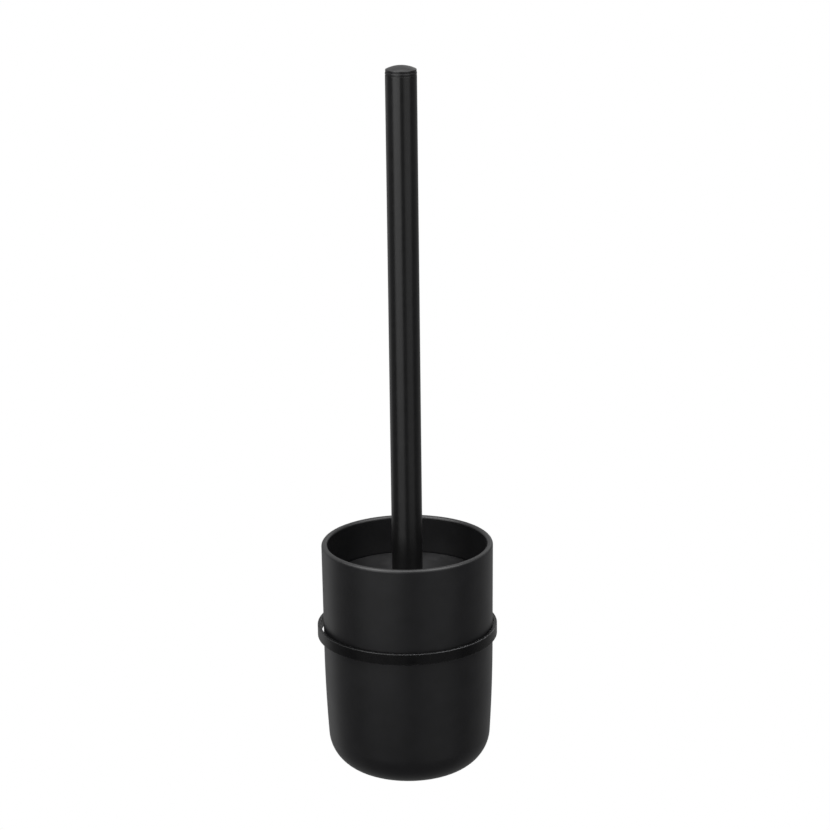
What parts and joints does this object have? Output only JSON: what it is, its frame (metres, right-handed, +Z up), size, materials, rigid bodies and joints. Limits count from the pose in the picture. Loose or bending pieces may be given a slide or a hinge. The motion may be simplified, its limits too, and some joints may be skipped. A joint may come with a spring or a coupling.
{
  "type": "toilet brush holder",
  "caption": "Wall-hung toilet brush set: a rounded cup hangs in a flat ring on a round rose, and a brush with a tube handle and splash disc stands in it.",
  "frame": {"origin": "middle of the wall-side face of the adhesive pad, on the axis of the rose", "axes": "+Y points into the wall, +Z up along the handle, +X to the right as seen from the front"},
  "size_m": [0.0944, 0.1192, 0.3731],
  "materials": {
    "foam_pad": "closed-cell adhesive foam",
    "plate_plastic": "moulded, fine texture",
    "black_metal": "satin black powder coat",
    "screw_steel": "plain steel",
    "cup_plastic": "satin black moulded plastic",
    "disc_plastic": "black plastic with fine turned rings",
    "core_plastic": "moulded black plastic",
    "insert_brass": "turned and knurled",
    "bristles": "black polypropylene filaments",
    "washer_rubber": "soft matt rubber",
    "handle_metal": "satin black powder coat",
    "insert_aluminium": "turned",
    "cap_plastic": "smooth black plastic"
  },
  "bodies": {
    "wall_bracket": {"adhesive_pad": "foam_pad", "wall_plate": "plate_plastic", "rose": "black_metal", "ring_stem": "black_metal", "stem_screw": "screw_steel", "grub_screw": "screw_steel", "support_ring": "black_metal"},
    "cup": {"cup_shell": "cup_plastic"},
    "brush_head": {"splash_disc": "disc_plastic", "threaded_stud": "screw_steel", "head_core": "core_plastic", "core_insert": "insert_brass", "side_bristles": "bristles", "end_bristles": "bristles"},
    "washer": {"seal_washer": "washer_rubber"},
    "handle": {"handle_tube": "handle_metal", "handle_insert": "insert_aluminium", "handle_cap": "cap_plastic"}
  },
  "joints": [
    {"name": "cup_lift", "type": "slide", "parent": "wall_bracket", "child": "cup", "axis": [0, 0, 1], "range_m": [0, 0.09]},
    {"name": "brush_lift", "type": "slide", "parent": "cup", "child": "brush_head", "axis": [0, 0, 1], "range_m": [0, 0.13]},
    {"name": "handle_rise", "type": "slide", "parent": "brush_head", "child": "washer", "axis": [0, 0, 1], "range_m": [0, 0.01]},
    {"name": "handle_turn", "type": "hinge", "parent": "washer", "child": "handle", "pos_m": [0.00045, -0.0724, 0], "axis": [0, 0, 1], "range_deg": [0, 2880]}
  ],
  "couplings": [
    {"joint": "handle_rise", "follows": "handle_turn", "m_per_rad": 0.00019894}
  ]
}
